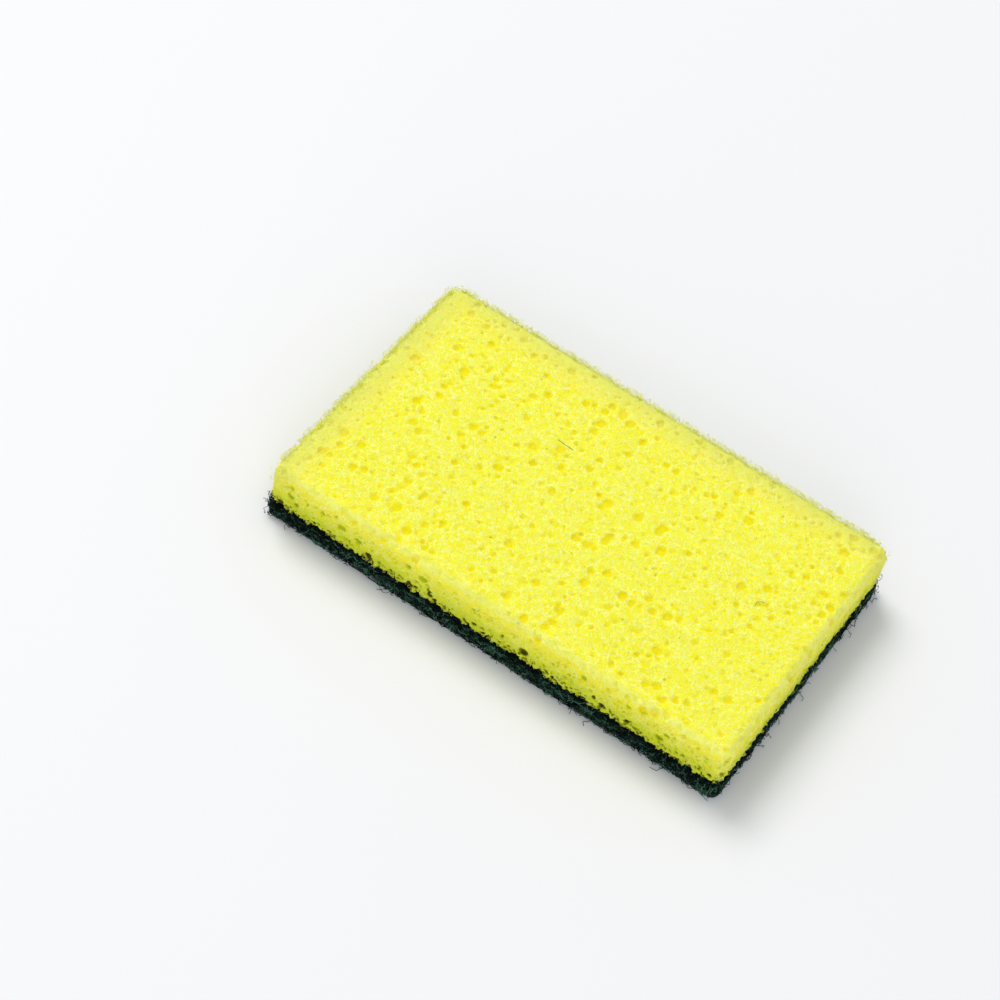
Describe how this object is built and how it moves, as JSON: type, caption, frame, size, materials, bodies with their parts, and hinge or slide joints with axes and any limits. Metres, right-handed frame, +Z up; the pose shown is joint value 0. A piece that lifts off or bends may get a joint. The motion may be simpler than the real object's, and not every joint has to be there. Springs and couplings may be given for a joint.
{
  "type": "sponge scrubber",
  "caption": "Flat scrub sponge: a porous yellow sponge block with a thin green abrasive pad bonded under its whole face.",
  "frame": {"origin": "middle of the scouring pad's open face, on the surface that the scrubber lies on", "axes": "+X along the length, +Y across the width, +Z up out of the sponge's top face, away from the pad"},
  "size_m": [0.155, 0.093, 0.0213],
  "materials": {
    "sponge": "lemon yellow open-cell sponge, matt, with round pores and a fine sparkling grain",
    "scouring_pad": "very dark green nonwoven web of curled fibres with grit bonded on, matt"
  },
  "bodies": {
    "root": {"sponge": "sponge", "scouring_pad": "scouring_pad"}
  },
  "joints": []
}
